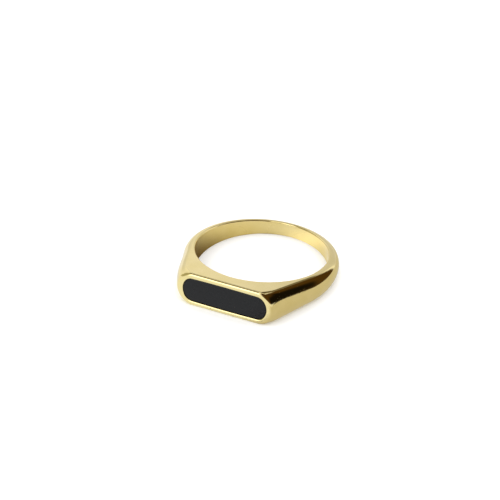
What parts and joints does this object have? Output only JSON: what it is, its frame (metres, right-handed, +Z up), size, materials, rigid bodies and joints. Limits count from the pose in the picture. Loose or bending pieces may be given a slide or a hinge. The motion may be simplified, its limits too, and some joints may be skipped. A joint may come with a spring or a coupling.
{
  "type": "signet ring",
  "caption": "Polished gold-coloured signet ring with a half-round shank, tapering flat sides and a long, round-ended black stone inlay let into its flat table.",
  "frame": {"origin": "on the surface that the ring lies on, under the middle of its bounding box; the ring lies on its lower side face", "axes": "+Z up, close to the finger hole's axis, which leans 4 degrees towards +Y because the lower side face is level; -Y is the side of the table with the inlay; +X runs along the inlay to the right"},
  "size_m": [0.0198, 0.0204, 0.0046],
  "materials": {
    "polished_gold": "polished",
    "black_onyx": "satin",
    "setting_cement": "matte"
  },
  "bodies": {
    "root": {"ring_body": "polished_gold", "onyx_inlay": "black_onyx", "cement_bed": "setting_cement"}
  },
  "joints": []
}
